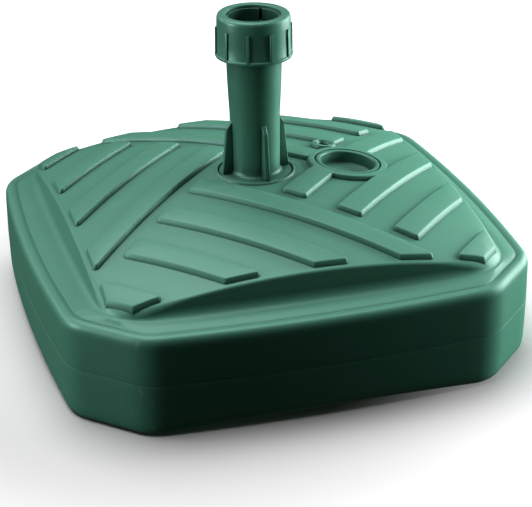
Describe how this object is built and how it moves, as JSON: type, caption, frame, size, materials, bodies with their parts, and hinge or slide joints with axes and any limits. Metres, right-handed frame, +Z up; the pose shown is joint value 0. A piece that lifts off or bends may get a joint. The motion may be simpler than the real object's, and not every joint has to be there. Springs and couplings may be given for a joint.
{
  "type": "parasol base",
  "caption": "Square water or sand fillable parasol base: hollow domed tank, finned stand tube for the pole, screw clamp collar, filler stopper and vent plug.",
  "frame": {"origin": "on the ground under the middle of the tank", "axes": "+Z up along the stand tube, -Y towards the front, +X towards the filler stopper"},
  "size_m": [0.4694, 0.4694, 0.3123],
  "materials": {
    "tank_plastic": "moulded, semi-gloss green",
    "tube_plastic": "moulded, satin green",
    "collar_plastic": "moulded, satin green",
    "ring_plastic": "moulded, dull dark green",
    "stopper_plastic": "moulded, satin green",
    "seal_rubber": "black rubber"
  },
  "bodies": {
    "tank": {"tank_upper_shell": "tank_plastic", "tank_lower_shell": "tank_plastic", "stand_tube": "tube_plastic"},
    "split_ring": {"clamp_split_ring": "ring_plastic"},
    "collar": {"clamp_collar": "collar_plastic"},
    "filler": {"filler_stopper": "stopper_plastic", "filler_seal": "seal_rubber"},
    "vent": {"vent_plug": "stopper_plastic", "vent_seal": "seal_rubber"}
  },
  "joints": [
    {"name": "ring_rise", "type": "slide", "parent": "tank", "child": "split_ring", "axis": [0, 0, 1], "range_m": [0, 0.009]},
    {"name": "collar_turn", "type": "hinge", "parent": "split_ring", "child": "collar", "pos_m": [0, 0, 0.29], "axis": [0, 0, 1], "range_deg": [0, 540]},
    {"name": "filler_lift", "type": "slide", "parent": "tank", "child": "filler", "axis": [0.1149, -0.0048, 0.9934], "range_m": [0, 0.045]},
    {"name": "vent_lift", "type": "slide", "parent": "tank", "child": "vent", "axis": [0.1057, 0.0609, 0.9925], "range_m": [0, 0.03]}
  ],
  "couplings": [
    {"joint": "ring_rise", "follows": "collar_turn", "m_per_rad": 0.00095}
  ]
}
